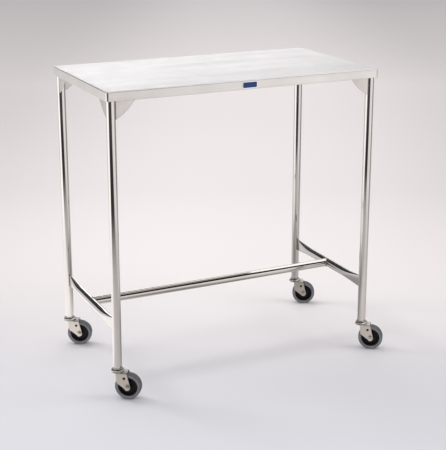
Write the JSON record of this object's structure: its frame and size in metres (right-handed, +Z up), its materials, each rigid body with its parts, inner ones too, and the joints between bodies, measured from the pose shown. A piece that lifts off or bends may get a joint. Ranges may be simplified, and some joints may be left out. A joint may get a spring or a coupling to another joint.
{
  "type": "instrument cart",
  "caption": "Flat stainless instrument cart on tube legs with an H-shaped lower brace and swivel casters, for laying out instruments beside an operating or examination table.",
  "frame": {"origin": "on the floor, under the centre of the outer box of the cart as it stands at rest, trailing casters included", "axes": "+Z up; +X along the long side, to the right seen from the front; -Y is the front, the long side with the label plate"},
  "size_m": [0.8853, 0.4882, 0.8763],
  "materials": {
    "deck_steel": "brushed along the long side",
    "tube_steel": "polished tube",
    "plated_steel": "nickel plated, satin",
    "wheel_core": "satin moulded",
    "tread": "matte, non-marking",
    "label_blue": "plain printed plate"
  },
  "bodies": {
    "frame": {"deck": "deck_steel", "label_plate": "label_blue", "leg_front_left": "tube_steel", "gusset_front_left_long": "deck_steel", "gusset_front_left_end": "deck_steel", "leg_socket_front_left": "plated_steel", "caster_stem_front_left": "plated_steel", "race_cap_front_left": "plated_steel", "leg_front_right": "tube_steel", "gusset_front_right_long": "deck_steel", "gusset_front_right_end": "deck_steel", "leg_socket_front_right": "plated_steel", "caster_stem_front_right": "plated_steel", "race_cap_front_right": "plated_steel", "leg_back_left": "tube_steel", "gusset_back_left_long": "deck_steel", "gusset_back_left_end": "deck_steel", "leg_socket_back_left": "plated_steel", "caster_stem_back_left": "plated_steel", "race_cap_back_left": "plated_steel", "leg_back_right": "tube_steel", "gusset_back_right_long": "deck_steel", "gusset_back_right_end": "deck_steel", "leg_socket_back_right": "plated_steel", "caster_stem_back_right": "plated_steel", "race_cap_back_right": "plated_steel", "side_rail_left": "tube_steel", "side_rail_right": "tube_steel", "centre_stretcher": "tube_steel"},
    "swivel_front_left": {"caster_fork_front_left": "plated_steel", "ball_ring_front_left": "plated_steel", "axle_bush_front_left": "plated_steel", "axle_bolt_front_left": "plated_steel", "axle_nut_front_left": "plated_steel"},
    "wheel_front_left": {"tyre_front_left": "tread", "wheel_core_front_left": "wheel_core"},
    "swivel_front_right": {"caster_fork_front_right": "plated_steel", "ball_ring_front_right": "plated_steel", "axle_bush_front_right": "plated_steel", "axle_bolt_front_right": "plated_steel", "axle_nut_front_right": "plated_steel"},
    "wheel_front_right": {"tyre_front_right": "tread", "wheel_core_front_right": "wheel_core"},
    "swivel_back_left": {"caster_fork_back_left": "plated_steel", "ball_ring_back_left": "plated_steel", "axle_bush_back_left": "plated_steel", "axle_bolt_back_left": "plated_steel", "axle_nut_back_left": "plated_steel"},
    "wheel_back_left": {"tyre_back_left": "tread", "wheel_core_back_left": "wheel_core"},
    "swivel_back_right": {"caster_fork_back_right": "plated_steel", "ball_ring_back_right": "plated_steel", "axle_bush_back_right": "plated_steel", "axle_bolt_back_right": "plated_steel", "axle_nut_back_right": "plated_steel"},
    "wheel_back_right": {"tyre_back_right": "tread", "wheel_core_back_right": "wheel_core"}
  },
  "joints": [
    {"name": "swivel_front_left", "type": "hinge", "parent": "frame", "child": "swivel_front_left", "pos_m": [-0.42089, -0.19916, 0.0807], "axis": [0, 0, 1], "continuous": true},
    {"name": "roll_front_left", "type": "hinge", "parent": "swivel_front_left", "child": "wheel_front_left", "pos_m": [-0.39631, -0.21636, 0.0375], "axis": [0.5736, 0.8192, 0], "continuous": true},
    {"name": "swivel_front_right", "type": "hinge", "parent": "frame", "child": "swivel_front_right", "pos_m": [0.38211, -0.19916, 0.0807], "axis": [0, 0, 1], "continuous": true},
    {"name": "roll_front_right", "type": "hinge", "parent": "swivel_front_right", "child": "wheel_front_right", "pos_m": [0.40639, -0.21679, 0.0375], "axis": [0.5878, 0.809, 0], "continuous": true},
    {"name": "swivel_back_left", "type": "hinge", "parent": "frame", "child": "swivel_back_left", "pos_m": [-0.42089, 0.22284, 0.0807], "axis": [0, 0, 1], "continuous": true},
    {"name": "roll_back_left", "type": "hinge", "parent": "swivel_back_left", "child": "wheel_back_left", "pos_m": [-0.3944, 0.20876, 0.0375], "axis": [0.4695, 0.8829, 0], "continuous": true},
    {"name": "swivel_back_right", "type": "hinge", "parent": "frame", "child": "swivel_back_right", "pos_m": [0.38211, 0.22284, 0.0807], "axis": [0, 0, 1], "continuous": true},
    {"name": "roll_back_right", "type": "hinge", "parent": "swivel_back_right", "child": "wheel_back_right", "pos_m": [0.4086, 0.20876, 0.0375], "axis": [0.4695, 0.8829, 0], "continuous": true}
  ]
}
